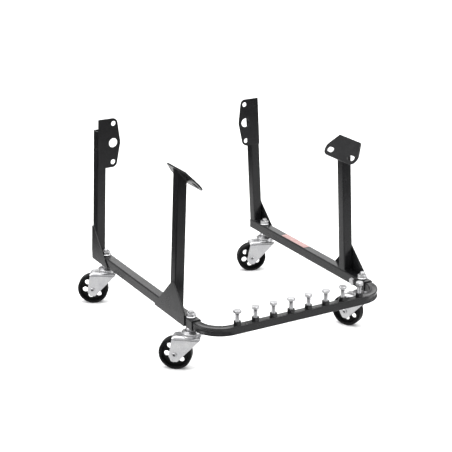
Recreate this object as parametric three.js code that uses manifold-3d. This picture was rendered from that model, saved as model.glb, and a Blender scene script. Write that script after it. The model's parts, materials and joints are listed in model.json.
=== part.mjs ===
// A rolling cradle for a car engine: two steel side frames joined by a U-shaped front crossbar,
// standing on four swivel casters. Four uprights carry the engine: two flat plates at the rear
// bolt to the bell-housing flange and two sloping plates at the front bolt to the motor mounts.
// Eight bolts are stored in weld nuts along the crossbar.
// Millimetres, +Z up, front at -Y, left at -X.

import * as THREE from "three";
import { mergeVertices } from "three/addons/utils/BufferGeometryUtils.js";
import Module from "manifold-3d";

const wasm = await Module();
wasm.setup();

// ---- Driving dimensions -------------------------------------------------------------------

const GAP = 0.3; // between pieces that touch
const PAST = 1; // how far a cut runs past the face it opens
const MERGE_DISTANCE = 1e-4; // points closer than this are one point
const SLOT_END_FLAT = 0.01; // keeps a slot's two end arcs from meeting in one point
const FULL_TURN = 2 * Math.PI;

// Side rails: square tube, level, with the caster stems through them.
const TUBE = 25;
const TUBE_WALL = 2;
const TUBE_CORNER = 3;
const RAIL_LENGTH = 552;
const OVERALL_WIDTH = 504;
const RAIL_BOTTOM = 107;
const RAIL_TOP = RAIL_BOTTOM + TUBE;
const RAIL_X = (OVERALL_WIDTH - TUBE) / 2;
const OUTER_FACE = OVERALL_WIDTH / 2;
const REAR_END = RAIL_LENGTH / 2;
const FRONT_END = -REAR_END;

// Uprights: the same tube, leaning inwards from the rail's top.
const LEAN = THREE.MathUtils.degToRad(2.67);
const REAR_UPRIGHT_TOP = 453;
const FRONT_UPRIGHT_Y = -178.5;
const REAR_UPRIGHT_Y = REAR_END - TUBE / 2;

// Flat plates on the front faces of the rear uprights.
const REAR_PLATE = {
  thickness: 3.5,
  bottom: 355,
  top: 484,
  outerInset: 1.5,
  endWidth: 52.5,
  middleWidth: 63,
  endRadius: 14,
  cornerRadius: 2,
  middleRadius: 5,
  holeInset: 43,
  holeFromEnd: 14,
  smallHoleRadius: 6.5,
  bigHoleRadius: 12,
};

// Sloping plates on top of the front uprights.
const FRONT_PLATE = {
  thickness: 4,
  centreX: 218,
  centreY: -186,
  centreZ: 451,
  slope: THREE.MathUtils.degToRad(50.5),
  slantLength: 60,
  longEdge: 166,
  shortEdge: 88,
  longRadius: 20,
  shortRadius: 2,
  slotFromLongEdge: 16.5,
  slotSpacing: 88,
  slotLength: 26,
  slotWidth: 13,
};

// Triangular gussets on the outer faces of the rails and uprights.
const GUSSET_THICKNESS = 2.5;
const GUSSET_TOP = 197;
const GUSSET_TIP = 8;
const FRONT_GUSSET_NOSE_Y = -244;
const FRONT_GUSSET_NOSE_TOP = 138;

// Crossbar: smaller square tube, bent into a U, whose ends slide into the rails.
const BAR = 20;
const BAR_WALL = 2;
const BAR_CORNER = 2;
const BAR_FRONT_Y = -350;
const BAR_LEG_END_Y = -200;
const BAR_BEND_RADIUS = 60;
const BAR_Z = RAIL_BOTTOM + TUBE / 2;
const BAR_TOP = BAR_Z + BAR / 2;
const BAR_CENTRE_Y = BAR_FRONT_Y + BAR / 2;

// Bolts that lock the crossbar in the rails.
const LOCK_BOLT = { y: -230, shankRadius: 4, acrossFlats: 16, headHeight: 6.5, reach: 6 };

// Stored bolts and the weld nuts that hold them.
const STORAGE_COUNT = 8;
const STORAGE_PITCH = 48;
const STORAGE_NUT_HEIGHT = 9;
const STORAGE_HEAD_TOP = 166.5;
const STORAGE_BOLT = { shankRadius: 5, acrossFlats: 17, headHeight: 6.8, length: 40 };

// Casters.
const FRONT_STEM_Y = -251;
const REAR_STEM_Y = 217;
const STEM_RADIUS = 6;
const STEM_TOP = 148;
const STEM_NUT = { acrossFlats: 19, height: 10, flangeRadius: 12.5, flangeHeight: 2.4 };
const CUP = { bottom: 92.6, rim: 95.6, top: 98.5, rimRadius: 23, topRadius: 14.5, bossRadius: 13 };
const KING_PIN = { radius: 6, headRadius: 9, headTop: 83.5, headBottom: 80.5 };
const CROWN = {
  bottom: 84.5,
  top: 87,
  halfWidth: 20,
  back: 44.5,
  front: -24,
  holeRadius: 7,
  cornerRadius: 6,
};
const RACEWAY = { radius: 20, topRadius: 17, top: 92 };
const WHEEL = {
  radius: 39.5,
  halfWidth: 12,
  boreRadius: 4.3,
  hubRadius: 12.5,
  webHalfWidth: 2.5,
  rimDepth: 7,
  shoulder: 4,
};
const WHEEL_HOLES = { count: 6, radius: 7.3, fromCentre: 21 };
const TRAIL = 38;
const CHEEK = {
  thickness: 2.5,
  outerAtAxle: 16.5,
  toe: 18.5,
  toeFront: 6,
  toeBack: 6.5,
  backReach: 14,
  backDrop: 5.5,
  topBack: 41.5,
  lip: 6,
  cornerRadius: 4,
};
const AXLE = { radius: 4, headRadius: 6, headRim: 1, headHeight: 2.2, splayClearance: 0.8 };

// Each caster's place, and the direction its wheel trails at rest, in degrees from +X towards +Y.
const CASTERS = [
  { name: "front_left", side: -1, y: FRONT_STEM_Y, trail: 140 },
  { name: "front_right", side: 1, y: FRONT_STEM_Y, trail: 116 },
  { name: "rear_left", side: -1, y: REAR_STEM_Y, trail: 148 },
  { name: "rear_right", side: 1, y: REAR_STEM_Y, trail: 160 },
];

// Plain label on the right rail.
const LABEL = { length: 112, width: 18, thickness: 0.4, y: 58 };

const STEM_HOLE_RADIUS = STEM_RADIUS + GAP;
const ROUND = 20; // sides of a hole or a turned piece
const SMALL_ROUND = 12;
const WHEEL_ROUND = 28;

// ---- Materials ----------------------------------------------------------------------------

function standard(color, roughness, metalness) {
  return () => new THREE.MeshStandardMaterial({ color, roughness, metalness });
}

const blackPowderCoat = standard(0x2a2a2d, 0.45, 0.1);
const zincPlate = standard(0xc6c8cc, 0.35, 0.9);
const blackPolymer = standard(0x19191b, 0.6, 0);
const redLabel = standard(0xc98a88, 0.6, 0);

// ---- Solids -------------------------------------------------------------------------------

// A closed geometry as a solid that can be joined and cut.
function solid(geometry) {
  const bare = new THREE.BufferGeometry();
  bare.setAttribute("position", geometry.getAttribute("position"));
  bare.setIndex(geometry.index);
  const merged = mergeVertices(bare, MERGE_DISTANCE);
  const index = merged.index.array;
  const kept = [];
  for (let i = 0; i < index.length; i += 3) {
    const [a, b, c] = index.slice(i, i + 3);
    if (a !== b && b !== c && c !== a) kept.push(a, b, c);
  }
  return new wasm.Manifold(
    new wasm.Mesh({
      numProp: 3,
      vertProperties: merged.getAttribute("position").array,
      triVerts: new Uint32Array(kept),
    }),
  );
}

function geometryOf(made) {
  const { numProp, numVert, vertProperties, triVerts } = made.getMesh();
  const positions = new Float32Array(numVert * 3);
  for (let i = 0; i < numVert; i++) {
    positions.set(vertProperties.subarray(i * numProp, i * numProp + 3), i * 3);
  }
  const geometry = new THREE.BufferGeometry();
  geometry.setAttribute("position", new THREE.BufferAttribute(positions, 3));
  geometry.setIndex(new THREE.BufferAttribute(triVerts, 1));
  const faceted = geometry.toNonIndexed();
  faceted.computeVertexNormals();
  return faceted;
}

function piece(name, made, material) {
  const mesh = new THREE.Mesh(geometryOf(made), material());
  mesh.name = name;
  return mesh;
}

// An outline whose corners, given as [x, y, radius] anticlockwise, are rounded.
function roundedShape(corners) {
  const shape = new THREE.Shape();
  corners.forEach(([x, y, radius], i) => {
    const corner = new THREE.Vector2(x, y);
    const before = corners[(i + corners.length - 1) % corners.length];
    const after = corners[(i + 1) % corners.length];
    const toBefore = new THREE.Vector2(before[0] - x, before[1] - y).normalize();
    const toAfter = new THREE.Vector2(after[0] - x, after[1] - y).normalize();
    const half = Math.acos(THREE.MathUtils.clamp(toBefore.dot(toAfter), -1, 1)) / 2;
    if (radius === 0) {
      if (i === 0) shape.moveTo(x, y);
      else shape.lineTo(x, y);
      return;
    }
    const tangent = radius / Math.tan(half);
    const start = corner.clone().addScaledVector(toBefore, tangent);
    const end = corner.clone().addScaledVector(toAfter, tangent);
    const inwards = toBefore.clone().add(toAfter).normalize();
    const centre = corner.clone().addScaledVector(inwards, radius / Math.sin(half));
    if (i === 0) shape.moveTo(start.x, start.y);
    else shape.lineTo(start.x, start.y);
    const convex = toBefore.cross(toAfter) < 0;
    shape.absarc(
      centre.x,
      centre.y,
      radius,
      Math.atan2(start.y - centre.y, start.x - centre.x),
      Math.atan2(end.y - centre.y, end.x - centre.x),
      !convex,
    );
  });
  shape.closePath();
  return shape;
}

function rectangle(width, height, radius) {
  const x = width / 2;
  const y = height / 2;
  return roundedShape([
    [-x, -y, radius],
    [x, -y, radius],
    [x, y, radius],
    [-x, y, radius],
  ]);
}

function hexagon(acrossFlats) {
  const corner = acrossFlats / Math.sqrt(3);
  const corners = [];
  for (let i = 0; i < 6; i++) {
    const angle = (i * FULL_TURN) / 6;
    corners.push([corner * Math.cos(angle), corner * Math.sin(angle), 0]);
  }
  return roundedShape(corners);
}

// A prism standing on z, of the given height.
function prism(shape, z, height, curveSegments = 2) {
  const geometry = new THREE.ExtrudeGeometry(shape, { depth: height, bevelEnabled: false, curveSegments });
  return geometry.translate(0, 0, z);
}

// The same prism turned so that its outline lies in the plane of Y and Z and it runs along X.
const OUTLINE_IN_YZ = new THREE.Matrix4().makeBasis(
  new THREE.Vector3(0, 1, 0),
  new THREE.Vector3(0, 0, 1),
  new THREE.Vector3(1, 0, 0),
);
// ... and so that its outline lies in the plane of X and Z and it runs towards -Y.
const OUTLINE_IN_XZ = new THREE.Matrix4().makeBasis(
  new THREE.Vector3(1, 0, 0),
  new THREE.Vector3(0, 0, 1),
  new THREE.Vector3(0, -1, 0),
);

function rod(radius, bottom, top, sides = ROUND) {
  const height = top - bottom;
  return new THREE.CylinderGeometry(radius, radius, height, sides)
    .rotateX(Math.PI / 2)
    .translate(0, 0, bottom + height / 2);
}

// A turned piece on the z axis, from its [radius, z] profile listed upwards.
function turned(profile, sides = ROUND) {
  const points = profile.map(([radius, z]) => new THREE.Vector2(radius, z));
  return new THREE.LatheGeometry(points, sides).rotateX(Math.PI / 2);
}

function hexBolt({ acrossFlats, headHeight, shankRadius, length }) {
  const head = solid(prism(hexagon(acrossFlats), 0, headHeight));
  return head.add(solid(rod(shankRadius, -length, headHeight / 2, SMALL_ROUND)));
}

// Shift a piece modelled on the +X side inwards in proportion to its height above the rail,
// so that it follows the uprights' lean.
function leanInwards(geometry) {
  const position = geometry.getAttribute("position");
  for (let i = 0; i < position.count; i++) {
    const rise = position.getZ(i) - RAIL_TOP;
    position.setX(i, position.getX(i) - rise * Math.tan(LEAN));
  }
  return geometry;
}

// The outline of a square tube's bore.
function boreOutline() {
  const size = TUBE - 2 * TUBE_WALL;
  return rectangle(size, size, TUBE_CORNER - TUBE_WALL);
}

// A leaning square tube that stands on the right rail at y. The bore runs past both ends.
function leaningTube(y, top) {
  const bottom = RAIL_TOP + GAP;
  const height = top - bottom;
  const outer = prism(rectangle(TUBE, TUBE, TUBE_CORNER), bottom, height);
  const bore = prism(boreOutline(), bottom - PAST, height + 2 * PAST);
  const lean = (geometry) => solid(leanInwards(geometry.translate(RAIL_X, y, 0)));
  return lean(outer).subtract(lean(bore));
}

// ---- Side frame, modelled on the +X side --------------------------------------------------

function rail() {
  const outer = prism(rectangle(TUBE, TUBE, TUBE_CORNER), FRONT_END, RAIL_LENGTH);
  const bore = prism(boreOutline(), FRONT_END - PAST, RAIL_LENGTH + 2 * PAST);
  const lay = (geometry) => {
    const laid = geometry.rotateX(-Math.PI / 2).translate(RAIL_X, 0, RAIL_BOTTOM + TUBE / 2);
    return solid(laid);
  };
  let made = lay(outer).subtract(lay(bore));
  for (const y of [FRONT_STEM_Y, REAR_STEM_Y]) {
    const hole = rod(STEM_HOLE_RADIUS, RAIL_BOTTOM - PAST, RAIL_TOP + PAST).translate(RAIL_X, y, 0);
    made = made.subtract(solid(hole));
  }
  return made.subtract(lockBoltHole());
}

function lockBoltHole() {
  const inner = RAIL_X - TUBE / 2;
  const hole = rod(LOCK_BOLT.shankRadius + GAP, -PAST, LOCK_BOLT.reach + PAST, SMALL_ROUND);
  return solid(hole.rotateY(Math.PI / 2).translate(inner, LOCK_BOLT.y, BAR_Z));
}

function rearUpright() {
  return leaningTube(REAR_UPRIGHT_Y, REAR_UPRIGHT_TOP);
}

// The front upright's top is cut parallel to the sloping plate it carries.
function frontUpright() {
  const { centreX, centreZ, slope, slantLength, thickness } = FRONT_PLATE;
  const blank = leaningTube(FRONT_UPRIGHT_Y, centreZ + slantLength);
  const size = 4 * slantLength;
  const cutter = new THREE.BoxGeometry(size, size, size)
    .translate(0, 0, size / 2 - thickness - GAP)
    .rotateY(-slope)
    .translate(centreX, FRONT_UPRIGHT_Y, centreZ);
  return blank.subtract(solid(cutter));
}

function rearPlate() {
  const { thickness, bottom, top, outerInset, endWidth, middleWidth } = REAR_PLATE;
  const { endRadius, cornerRadius, middleRadius } = REAR_PLATE;
  const middle = (bottom + top) / 2;
  const outline = roundedShape([
    [OUTER_FACE - outerInset, bottom, cornerRadius],
    [OUTER_FACE - outerInset, top, cornerRadius],
    [OUTER_FACE - endWidth, top, endRadius],
    [OUTER_FACE - middleWidth, middle, middleRadius],
    [OUTER_FACE - endWidth, bottom, endRadius],
  ]);
  const face = REAR_END - TUBE - GAP;
  const blank = prism(outline, 0, thickness, 4).applyMatrix4(OUTLINE_IN_XZ).translate(0, face, 0);
  let made = solid(leanInwards(blank));
  const { holeInset, holeFromEnd, smallHoleRadius, bigHoleRadius } = REAR_PLATE;
  const holes = [
    [bottom + holeFromEnd, smallHoleRadius],
    [middle, bigHoleRadius],
    [top - holeFromEnd, smallHoleRadius],
  ];
  for (const [z, radius] of holes) {
    const x = OUTER_FACE - holeInset - (z - RAIL_TOP) * Math.tan(LEAN);
    const hole = rod(radius, -PAST, thickness + PAST).rotateX(Math.PI / 2).translate(x, face, z);
    made = made.subtract(solid(hole));
  }
  return made;
}

function frontPlate() {
  const { thickness, slantLength, longEdge, shortEdge, longRadius, shortRadius } = FRONT_PLATE;
  const half = slantLength / 2;
  const outline = roundedShape([
    [-half, longEdge / 2, longRadius],
    [-half, -longEdge / 2, longRadius],
    [half, -shortEdge / 2, shortRadius],
    [half, shortEdge / 2, shortRadius],
  ]);
  let made = solid(prism(outline, -thickness, thickness, 4));
  const { slotFromLongEdge, slotSpacing, slotLength, slotWidth } = FRONT_PLATE;
  const slotOutline = rectangle(slotWidth, slotLength, slotWidth / 2 - SLOT_END_FLAT);
  for (const end of [-1, 1]) {
    const slot = prism(slotOutline, -thickness - PAST, thickness + 2 * PAST, 4);
    slot.translate(slotFromLongEdge - half, (end * slotSpacing) / 2, 0);
    made = made.subtract(solid(slot));
  }
  return made;
}

// A gusset's outline in the plane of Y and Z, as one part over the rail and one over the upright,
// so that the plate folds along the rail's top edge.
function gusset(low, high) {
  const plate = (corners) => {
    const flat = prism(roundedShape(corners), 0, GUSSET_THICKNESS).applyMatrix4(OUTLINE_IN_YZ);
    return flat.translate(OUTER_FACE + GAP, 0, 0);
  };
  return solid(plate(low)).add(solid(leanInwards(plate(high))));
}

function rearGusset() {
  const back = REAR_END;
  const reach = (z) => back - GUSSET_TIP - (GUSSET_TOP - z);
  return gusset(
    [
      [reach(RAIL_BOTTOM), RAIL_BOTTOM, 0],
      [back, RAIL_BOTTOM, 0],
      [back, RAIL_TOP, 0],
      [reach(RAIL_TOP), RAIL_TOP, 0],
    ],
    [
      [reach(RAIL_TOP), RAIL_TOP, 0],
      [back, RAIL_TOP, 0],
      [back, GUSSET_TOP, 0],
      [reach(GUSSET_TOP), GUSSET_TOP, 0],
    ],
  );
}

function frontGusset() {
  const tip = FRONT_UPRIGHT_Y;
  const back = (z) => tip + (GUSSET_TOP - z);
  const nose = FRONT_GUSSET_NOSE_Y;
  return gusset(
    [
      [nose, RAIL_BOTTOM, 0],
      [back(RAIL_BOTTOM), RAIL_BOTTOM, 0],
      [back(RAIL_TOP), RAIL_TOP, 0],
      [nose, RAIL_TOP, 0],
    ],
    [
      [nose, RAIL_TOP, 0],
      [back(RAIL_TOP), RAIL_TOP, 0],
      [tip, GUSSET_TOP, 0],
      [tip - GUSSET_TIP, GUSSET_TOP, 0],
      [nose, FRONT_GUSSET_NOSE_TOP, 0],
    ],
  );
}

function lockBolt() {
  const { reach, ...sizes } = LOCK_BOLT;
  return hexBolt({ ...sizes, length: reach });
}

function sideFrame(side) {
  const suffix = side < 0 ? "_left" : "_right";
  const group = new THREE.Group();
  group.scale.x = side;

  const plate = piece("motor_mount_plate" + suffix, frontPlate(), blackPowderCoat);
  plate.rotation.y = -FRONT_PLATE.slope;
  plate.position.set(FRONT_PLATE.centreX, FRONT_PLATE.centreY, FRONT_PLATE.centreZ);

  const bolt = piece("crossbar_lock_bolt" + suffix, lockBolt(), zincPlate);
  bolt.rotation.y = -Math.PI / 2;
  bolt.position.set(RAIL_X - TUBE / 2 - GAP, LOCK_BOLT.y, BAR_Z);

  group.add(
    piece("side_rail" + suffix, rail(), blackPowderCoat),
    piece("rear_upright" + suffix, rearUpright(), blackPowderCoat),
    piece("front_upright" + suffix, frontUpright(), blackPowderCoat),
    piece("bell_housing_plate" + suffix, rearPlate(), blackPowderCoat),
    piece("rear_gusset" + suffix, rearGusset(), blackPowderCoat),
    piece("front_gusset" + suffix, frontGusset(), blackPowderCoat),
    plate,
    bolt,
  );
  return group;
}

// ---- Crossbar and stored bolts ------------------------------------------------------------

// The U in plan. inset moves both walls inwards, and past moves the two open ends.
function barOutline(inset, past) {
  const outerX = RAIL_X + BAR / 2 - inset;
  const innerX = RAIL_X - BAR / 2 + inset;
  const outerY = BAR_FRONT_Y + inset;
  const innerY = BAR_FRONT_Y + BAR - inset;
  const end = BAR_LEG_END_Y + past;
  const outerRadius = BAR_BEND_RADIUS + BAR / 2 - inset;
  const innerRadius = BAR_BEND_RADIUS - BAR / 2 + inset;
  return roundedShape([
    [-outerX, outerY, outerRadius],
    [outerX, outerY, outerRadius],
    [outerX, end, 0],
    [innerX, end, 0],
    [innerX, innerY, innerRadius],
    [-innerX, innerY, innerRadius],
    [-innerX, end, 0],
    [-outerX, end, 0],
  ]);
}

function storageX(i) {
  return (i - (STORAGE_COUNT - 1) / 2) * STORAGE_PITCH;
}

function crossbar() {
  const tube = new THREE.ExtrudeGeometry(barOutline(0, 0), {
    depth: BAR - 2 * BAR_CORNER,
    bevelThickness: BAR_CORNER,
    bevelSize: BAR_CORNER,
    bevelOffset: -BAR_CORNER,
    bevelSegments: 1,
    curveSegments: 5,
  }).translate(0, 0, BAR_Z - BAR / 2 + BAR_CORNER);
  const bore = prism(barOutline(BAR_WALL, BAR_CORNER), BAR_Z - BAR / 2 + BAR_WALL, BAR - 2 * BAR_WALL, 5);
  let made = solid(tube).subtract(solid(bore));
  for (const side of [-1, 1]) {
    const hole = rod(STEM_HOLE_RADIUS, RAIL_BOTTOM, RAIL_TOP).translate(side * RAIL_X, FRONT_STEM_Y, 0);
    made = made.subtract(solid(hole));
    const lock = rod(LOCK_BOLT.shankRadius + GAP, RAIL_X - TUBE / 2, RAIL_X, SMALL_ROUND);
    made = made.subtract(solid(lock.rotateY((side * Math.PI) / 2).translate(0, LOCK_BOLT.y, BAR_Z)));
  }
  for (let i = 0; i < STORAGE_COUNT; i++) {
    const hole = rod(STORAGE_BOLT.shankRadius + GAP, BAR_Z, RAIL_TOP, SMALL_ROUND);
    made = made.subtract(solid(hole.translate(storageX(i), BAR_CENTRE_Y, 0)));
  }
  return made;
}

function weldNut() {
  const nut = solid(prism(hexagon(STORAGE_BOLT.acrossFlats), 0, STORAGE_NUT_HEIGHT));
  const radius = STORAGE_BOLT.shankRadius + GAP;
  return nut.subtract(solid(rod(radius, -PAST, STORAGE_NUT_HEIGHT + PAST, SMALL_ROUND)));
}

function crossbarGroup() {
  const group = new THREE.Group();
  group.add(piece("front_crossbar", crossbar(), blackPowderCoat));
  for (let i = 0; i < STORAGE_COUNT; i++) {
    const nut = piece("storage_weld_nut_" + (i + 1), weldNut(), blackPowderCoat);
    nut.position.set(storageX(i), BAR_CENTRE_Y, BAR_TOP + GAP);
    const bolt = piece("storage_bolt_" + (i + 1), hexBolt(STORAGE_BOLT), zincPlate);
    bolt.position.set(storageX(i), BAR_CENTRE_Y, STORAGE_HEAD_TOP - STORAGE_BOLT.headHeight);
    group.add(nut, bolt);
  }
  return group;
}

// ---- Casters, modelled with the swivel axis on z and the wheel trailing towards +X ---------

// The threaded stem, the upper raceway cup and the king pin under it are one riveted piece.
function casterStem() {
  const boss = RAIL_BOTTOM - GAP;
  return solid(
    turned([
      [0, KING_PIN.headBottom],
      [KING_PIN.headRadius, KING_PIN.headBottom],
      [KING_PIN.headRadius, KING_PIN.headTop],
      [KING_PIN.radius, KING_PIN.headTop],
      [KING_PIN.radius, CUP.bottom],
      [CUP.rimRadius, CUP.bottom],
      [CUP.rimRadius, CUP.rim],
      [CUP.topRadius, CUP.top],
      [CUP.bossRadius, CUP.top],
      [CUP.bossRadius, boss],
      [STEM_RADIUS, boss],
      [STEM_RADIUS, STEM_TOP],
      [0, STEM_TOP],
    ]),
  );
}

function stemNut() {
  const { acrossFlats, height, flangeRadius, flangeHeight } = STEM_NUT;
  const flange = solid(rod(flangeRadius, 0, flangeHeight));
  const nut = flange.add(solid(prism(hexagon(acrossFlats), flangeHeight / 2, height - flangeHeight / 2)));
  return nut.subtract(solid(rod(STEM_HOLE_RADIUS, -PAST, height + PAST)));
}

// One fork cheek's outline in the plane of X and Z: the front edge slopes back from the crown's
// front lip to a flat toe under the axle, and the back edge is nearly upright.
function cheekOutline() {
  const { toe, toeFront, toeBack, backReach, backDrop, topBack, lip, cornerRadius } = CHEEK;
  const axleZ = WHEEL.radius;
  return roundedShape([
    [CROWN.front, CROWN.top - lip, 0],
    [TRAIL - toeFront, axleZ - toe, cornerRadius],
    [TRAIL + toeBack, axleZ - toe, cornerRadius],
    [TRAIL + backReach, axleZ - backDrop, cornerRadius],
    [topBack, CROWN.top, 1],
    [CROWN.front, CROWN.top, 0],
  ]);
}

// Both cheeks close in slightly towards the axle. A cheek is sheared from a flat plate, and the
// one at -Y is turned over with its faces put back to outwards.
function cheek(side) {
  const flat = prism(cheekOutline(), 0, CHEEK.thickness, 5).applyMatrix4(OUTLINE_IN_XZ);
  const position = flat.getAttribute("position");
  const splay = (CROWN.halfWidth - CHEEK.outerAtAxle) / (CROWN.top - WHEEL.radius);
  for (let i = 0; i < position.count; i++) {
    const outer = CHEEK.outerAtAxle + (position.getZ(i) - WHEEL.radius) * splay;
    position.setY(i, position.getY(i) + outer);
  }
  if (side > 0) return solid(flat);
  return solid(flat).mirror([0, 1, 0]);
}

function fork() {
  const { front, back, halfWidth, bottom, top, cornerRadius, holeRadius } = CROWN;
  const outline = roundedShape([
    [front, -halfWidth, cornerRadius],
    [back, -halfWidth, cornerRadius],
    [back, halfWidth, cornerRadius],
    [front, halfWidth, cornerRadius],
  ]);
  const raceway = turned([
    [0, bottom],
    [RACEWAY.radius, bottom],
    [RACEWAY.radius, top],
    [RACEWAY.topRadius, RACEWAY.top],
    [0, RACEWAY.top],
  ]);
  const axleHole = rod(AXLE.radius + GAP, -2 * halfWidth, 2 * halfWidth, SMALL_ROUND)
    .rotateX(Math.PI / 2)
    .translate(TRAIL, 0, WHEEL.radius);
  return solid(prism(outline, bottom, top - bottom))
    .add(cheek(1))
    .add(cheek(-1))
    .add(solid(raceway))
    .subtract(solid(rod(holeRadius, bottom - PAST, RACEWAY.top + PAST)))
    .subtract(solid(axleHole));
}

// The wheel on its own axis, z: a tread with rounded shoulders, a web and a hub.
function wheel() {
  const { radius, halfWidth, boreRadius, hubRadius, webHalfWidth, rimDepth, shoulder } = WHEEL;
  const profile = turned(
    [
      [boreRadius, -halfWidth],
      [hubRadius, -halfWidth],
      [hubRadius + 1, -webHalfWidth],
      [radius - rimDepth, -webHalfWidth],
      [radius - rimDepth + 1, -halfWidth],
      [radius - shoulder / 2, -halfWidth],
      [radius, -halfWidth + shoulder],
      [radius, halfWidth - shoulder],
      [radius - shoulder / 2, halfWidth],
      [radius - rimDepth + 1, halfWidth],
      [radius - rimDepth, webHalfWidth],
      [hubRadius + 1, webHalfWidth],
      [hubRadius, halfWidth],
      [boreRadius, halfWidth],
      [boreRadius, -halfWidth],
    ],
    WHEEL_ROUND,
  );
  let made = solid(profile);
  for (let i = 0; i < WHEEL_HOLES.count; i++) {
    const angle = (i * FULL_TURN) / WHEEL_HOLES.count;
    const x = WHEEL_HOLES.fromCentre * Math.cos(angle);
    const y = WHEEL_HOLES.fromCentre * Math.sin(angle);
    const hole = rod(WHEEL_HOLES.radius, -halfWidth, halfWidth, SMALL_ROUND).translate(x, y, 0);
    made = made.subtract(solid(hole));
  }
  return made;
}

// The wheel turns on a plain rivet through both cheeks, with a low domed head at each end.
function axleRivet() {
  const { radius, headRadius, headRim, headHeight, splayClearance } = AXLE;
  const seat = CHEEK.outerAtAxle + splayClearance;
  return solid(
    turned([
      [0, -seat - headHeight],
      [headRadius - headRim, -seat - headHeight],
      [headRadius, -seat - headRim],
      [headRadius, -seat],
      [radius, -seat],
      [radius, seat],
      [headRadius, seat],
      [headRadius, seat + headRim],
      [headRadius - headRim, seat + headHeight],
      [0, seat + headHeight],
    ]),
  );
}

function caster({ name, side, y, trail }) {
  const prefix = name + "_caster_";
  const fixed = new THREE.Group();
  fixed.position.set(side * RAIL_X, y, 0);
  const nut = piece(prefix + "stem_nut", stemNut(), zincPlate);
  nut.position.z = RAIL_TOP + GAP;
  fixed.add(piece(prefix + "stem", casterStem(), zincPlate), nut);

  const swivel = new THREE.Group();
  swivel.rotation.z = THREE.MathUtils.degToRad(trail);
  swivel.add(piece(prefix + "fork", fork(), zincPlate));

  // The wheel and its rivet share the axle line, which is the group's own z.
  const axle = new THREE.Group();
  axle.position.set(TRAIL, 0, WHEEL.radius);
  axle.rotation.x = -Math.PI / 2;
  axle.add(piece(prefix + "wheel", wheel(), blackPolymer), piece(prefix + "axle", axleRivet(), zincPlate));
  swivel.add(axle);
  fixed.add(swivel);
  return fixed;
}

// ---- Label --------------------------------------------------------------------------------

function label() {
  const outline = rectangle(LABEL.width, LABEL.length, 1);
  const made = piece("rail_label", solid(prism(outline, 0, LABEL.thickness)), redLabel);
  made.position.set(RAIL_X, LABEL.y, RAIL_TOP + GAP / 2);
  return made;
}

// ---- Assembly -----------------------------------------------------------------------------

const cradle = new THREE.Group();
cradle.add(sideFrame(-1), sideFrame(1), crossbarGroup(), label());
for (const place of CASTERS) {
  cradle.add(caster(place));
}

// The origin is on the floor, at the middle of the whole object's box.
const middle = new THREE.Box3().setFromObject(cradle).getCenter(new THREE.Vector3());
cradle.position.set(-middle.x, -middle.y, 0);

const engineCradle = new THREE.Group();
engineCradle.add(cradle);

export default engineCradle;
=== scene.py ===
"""A rolling engine cradle: black powder-coated square tube, zinc-plated casters and stored bolts.

Every size is in metres, in the row frame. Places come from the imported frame's boxes, joints and
mounts, and each CAD node is replaced by a finished piece in the same place.
"""

import json
import math

import bmesh
import bpy
from mathutils import Matrix, Vector


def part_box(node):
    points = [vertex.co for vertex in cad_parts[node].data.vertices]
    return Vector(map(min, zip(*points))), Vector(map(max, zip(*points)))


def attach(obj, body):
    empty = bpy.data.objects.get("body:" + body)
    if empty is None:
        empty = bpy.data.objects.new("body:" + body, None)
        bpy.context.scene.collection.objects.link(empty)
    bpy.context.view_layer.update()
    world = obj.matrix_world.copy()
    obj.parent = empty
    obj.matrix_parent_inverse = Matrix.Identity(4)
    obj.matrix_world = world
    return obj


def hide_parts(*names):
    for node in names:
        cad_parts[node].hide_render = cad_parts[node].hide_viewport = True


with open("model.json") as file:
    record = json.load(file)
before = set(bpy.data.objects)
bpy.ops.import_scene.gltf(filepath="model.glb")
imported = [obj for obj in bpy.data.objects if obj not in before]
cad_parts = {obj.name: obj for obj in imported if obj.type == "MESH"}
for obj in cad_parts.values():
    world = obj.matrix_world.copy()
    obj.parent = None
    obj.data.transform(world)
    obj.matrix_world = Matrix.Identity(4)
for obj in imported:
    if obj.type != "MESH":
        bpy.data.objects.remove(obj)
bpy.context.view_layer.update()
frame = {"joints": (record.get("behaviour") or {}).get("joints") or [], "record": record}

# ---- Sizes ----

MM = 0.001

TUBE_WALL = 2 * MM
TUBE_CORNER = 3 * MM
BAR_WALL = 2 * MM
BAR_CORNER = 2.4 * MM
BAR_BEND_RADIUS = 60 * MM
BEND_GROOVE = 3.6 * MM  # how far the outer wall of a bend is pushed in
BEND_PINCH = 1.1 * MM  # how far the top and bottom walls of a bend sink
BEND_STEPS = 28
BEND_EASE = 0.3  # the share of a bend over which its pinch comes in
BEND_SAG = 0.9 * MM  # how far the inner wall of a bend is pushed out
END_CHAMFER = 0.4 * MM
HOLE_PAST = 1 * MM  # how far a cutter runs past the wall it cuts
FRONT_PLATE_EDGE = 0.6 * MM
REAR_PLATE_EDGE = 0.25 * MM
GUSSET_EDGE = 0.4 * MM
WEB_EDGE = 0.5 * MM
LABEL_EDGE = 0.1 * MM
LABEL_CORNER = 1.5 * MM

REAR_PLATE = {
    "outer_inset": 1.5 * MM,
    "end_width": 52.5 * MM,
    "middle_width": 63 * MM,
    "end_radius": 14 * MM,
    "corner_radius": 2 * MM,
    "middle_radius": 6 * MM,
    "hole_inset": 43 * MM,
    "hole_from_end": 14 * MM,
    "small_hole": 6.5 * MM,
    "big_hole": 12 * MM,
}
FRONT_PLATE = {
    "thickness": 4 * MM,
    "slant": 60 * MM,
    "long_edge": 166 * MM,
    "short_edge": 88 * MM,
    "long_radius": 20 * MM,
    "short_radius": 2 * MM,
    "slot_from_long_edge": 16.5 * MM,
    "slot_spacing": 88 * MM,
    "slot_length": 26 * MM,
    "slot_width": 13 * MM,
}
GUSSET_TIP = 8 * MM
GUSSET_NOSE_RISE = 6 * MM  # the front gusset's nose above the rail's top
GUSSET_CORNER = 1.2 * MM

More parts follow.
